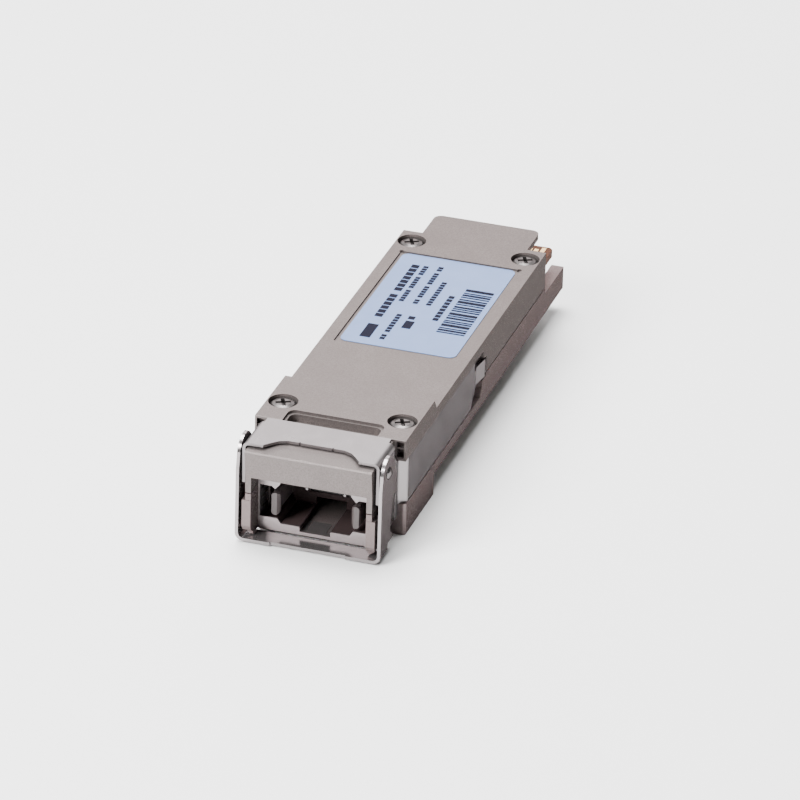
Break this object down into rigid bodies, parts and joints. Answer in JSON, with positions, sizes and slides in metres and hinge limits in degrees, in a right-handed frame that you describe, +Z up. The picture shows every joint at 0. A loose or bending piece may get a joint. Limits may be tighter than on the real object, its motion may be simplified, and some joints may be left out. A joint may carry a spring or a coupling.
{
  "type": "optical transceiver module",
  "caption": "Pluggable optical transceiver: flat metal housing, card edge at the rear, parallel fibre port in the nose, sprung latch slider and a swinging pull bail.",
  "frame": {"origin": "centre of the underside of the bounding box", "axes": "+Y from the fibre port to the card edge, +Z up through the label side, +X to the right seen from the port"},
  "size_m": [0.0184, 0.0714, 0.0129],
  "materials": {
    "cast_cover": "nickel-plated zinc casting, satin",
    "cast_case": "nickel-plated zinc casting, satin",
    "screw_steel": "plain steel, satin",
    "label_film": "printed polyester film, soft gloss",
    "slider_steel": "rolled stainless sheet, satin",
    "spring_steel": "drawn wire",
    "bail_steel": "rolled stainless sheet, bright satin",
    "rivet_steel": "polished",
    "collar_steel": "thin spring sheet",
    "adapter_plastic": "filled moulding, matt",
    "hook_plastic": "filled moulding, satin",
    "ferrule_plastic": "glass-filled moulding, matt",
    "pin_steel": "ground pins",
    "holder_plastic": "moulding, matt",
    "ribbon_coat": "acrylate coating",
    "lens_plastic": "amber optical plastic",
    "clip_steel": "thin sheet",
    "laser_crystal": "bare die",
    "diode_crystal": "bare die",
    "chip_black": "moulded package, matt",
    "pad_silicone": "soft silicone",
    "ceramic_tan": "ceramic",
    "ferrite_grey": "ferrite",
    "board_laminate": "glass-epoxy laminate, brown",
    "contact_gold": "gold plate"
  },
  "bodies": {
    "housing": {"top_cover": "cast_cover", "bottom_case": "cast_case", "cover_screws": "screw_steel", "label": "label_film", "emi_collar": "collar_steel", "port_adapter": "adapter_plastic", "ferrule": "ferrule_plastic", "guide_pins": "pin_steel", "ferrule_holder": "holder_plastic", "pin_clamp": "pin_steel", "fibre_ribbon": "ribbon_coat", "lens_block": "lens_plastic", "lens_clip": "clip_steel", "laser_array": "laser_crystal", "photodiode_array": "diode_crystal", "laser_driver_chip": "chip_black", "receiver_chip": "chip_black", "thermal_pad": "pad_silicone", "controller_chip": "chip_black", "power_capacitors": "ceramic_tan", "power_inductors": "ferrite_grey", "circuit_board": "board_laminate", "edge_contacts_top": "contact_gold", "edge_contacts_bottom": "contact_gold", "slider_springs": "spring_steel"},
    "slider": {"latch_slider": "slider_steel", "bail_rivets": "rivet_steel"},
    "pull_bail": {"bail": "bail_steel"},
    "hook_left": {"latch_hook_left": "hook_plastic"},
    "hook_right": {"latch_hook_right": "hook_plastic"}
  },
  "joints": [
    {"name": "slider_pull", "type": "slide", "parent": "housing", "child": "slider", "axis": [0, -1, 0], "range_m": [0, 0.002], "stiffness_N_per_m": 400, "springref_m": -0.001, "deforming": ["slider_springs"]},
    {"name": "bail_swing", "type": "hinge", "parent": "slider", "child": "pull_bail", "pos_m": [0, -0.0329, 0.0108], "axis": [-1, 0, 0], "range_deg": [0, 90]},
    {"name": "hook_left_flex", "type": "hinge", "parent": "housing", "child": "hook_left", "pos_m": [-0.005, -0.02635, 0.00475], "axis": [0, 0, 1], "range_deg": [0, 4], "stiffness_Nm_per_rad": 0.05},
    {"name": "hook_right_flex", "type": "hinge", "parent": "housing", "child": "hook_right", "pos_m": [0.005, -0.02635, 0.00475], "axis": [0, 0, -1], "range_deg": [0, 4], "stiffness_Nm_per_rad": 0.05}
  ]
}
